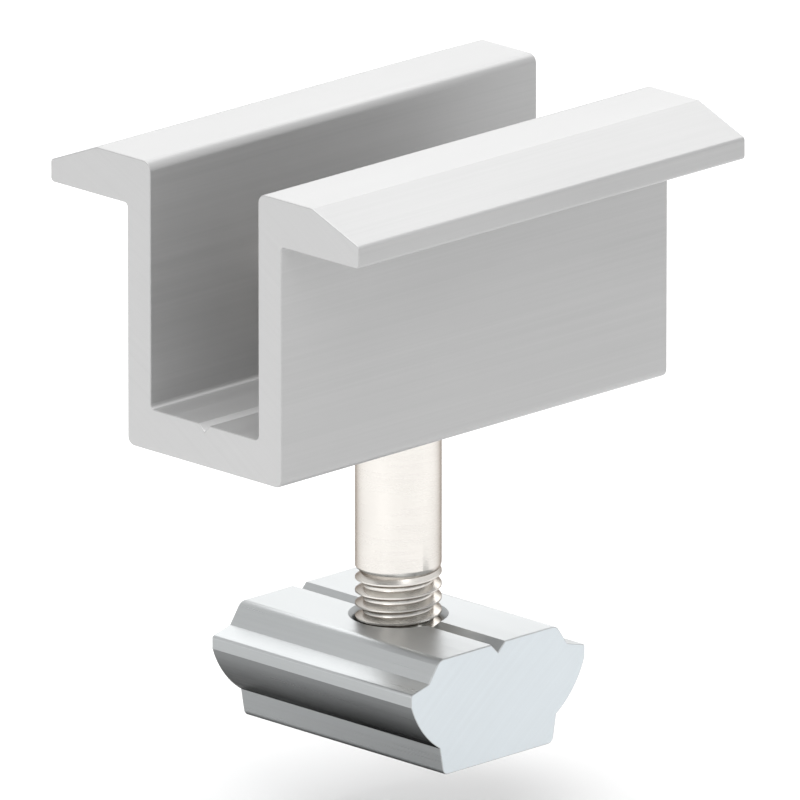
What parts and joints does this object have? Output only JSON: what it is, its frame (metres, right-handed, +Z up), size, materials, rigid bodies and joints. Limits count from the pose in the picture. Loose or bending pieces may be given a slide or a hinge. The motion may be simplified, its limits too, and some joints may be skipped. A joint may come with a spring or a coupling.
{
  "type": "solar module mid clamp",
  "caption": "Winged U-channel clamp that bridges the frames of neighbouring solar modules and is drawn down by a socket cap screw on a slotted-rail nut.",
  "frame": {"origin": "middle of the nut's underside, on the screw's axis", "axes": "+Z up along the screw towards its head, +X along the channel (along the gap between the modules), +Y along the nut and the rail"},
  "size_m": [0.05, 0.04, 0.0582],
  "materials": {
    "channel_aluminium": "extruded, satin anodised, with sawn ends",
    "nut_aluminium": "extruded, satin, with sawn ends",
    "screw_steel": "stainless steel, bright rolled shank",
    "washer_steel": "stainless spring steel, dull"
  },
  "bodies": {
    "channel": {"clamp_channel": "channel_aluminium"},
    "washer": {"spring_washer": "washer_steel"},
    "screw": {"socket_screw": "screw_steel"},
    "nut": {"rail_nut": "nut_aluminium"}
  },
  "joints": [
    {"name": "screw_swivel", "type": "hinge", "parent": "channel", "child": "washer", "pos_m": [0, 0, 0.0347], "axis": [0, 0, 1], "continuous": true},
    {"name": "screw_turn", "type": "hinge", "parent": "washer", "child": "screw", "pos_m": [0, 0, 0.0367], "axis": [0, 0, 1], "range_deg": [-1080, 2160]},
    {"name": "nut_travel", "type": "slide", "parent": "washer", "child": "nut", "axis": [0, 0, 1], "range_m": [-0.0076, 0.0038]}
  ],
  "couplings": [
    {"joint": "nut_travel", "follows": "screw_turn", "m_per_rad": -0.00019894}
  ]
}
